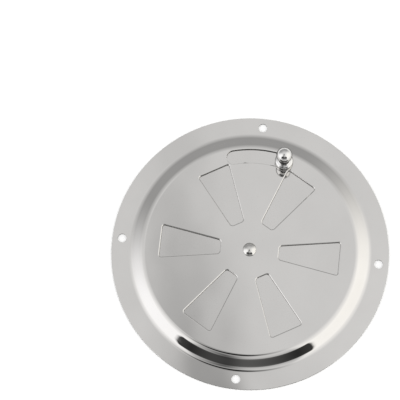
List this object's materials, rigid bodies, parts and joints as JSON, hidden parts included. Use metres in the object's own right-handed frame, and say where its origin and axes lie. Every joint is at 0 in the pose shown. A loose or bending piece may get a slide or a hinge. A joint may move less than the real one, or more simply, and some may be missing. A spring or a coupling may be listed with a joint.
{
  "type": "round vent cover",
  "caption": "Round polished steel butterfly vent cover: raised panel with radial openings, a shutter disc that turns on a central rivet, and a knob in an arc slot.",
  "frame": {"origin": "centre of the flange's back face, where the cover lies on the wall", "axes": "+Z out of the front along the rivet's axis, +Y towards the middle of the arc slot, +X completes the frame"},
  "size_m": [0.127, 0.127, 0.0193],
  "materials": {
    "polished_steel": "mirror polished stainless sheet",
    "shutter_steel": "bright rolled stainless sheet",
    "rivet_steel": "polished",
    "washer_steel": "bright rolled",
    "knob_chrome": "bright chrome plate",
    "screw_steel": "bright zinc plate"
  },
  "bodies": {
    "cover": {"cover_plate": "polished_steel", "pivot_rivet": "rivet_steel", "spring_washer": "washer_steel", "pivot_washer": "washer_steel"},
    "shutter": {"shutter_disc": "shutter_steel", "knob": "knob_chrome", "knob_lock_washer": "washer_steel", "knob_screw": "screw_steel"}
  },
  "joints": [
    {"name": "shutter_turn", "type": "hinge", "parent": "cover", "child": "shutter", "pos_m": [0, 0, 0], "axis": [0, 0, 1], "range_deg": [0, 30]}
  ]
}
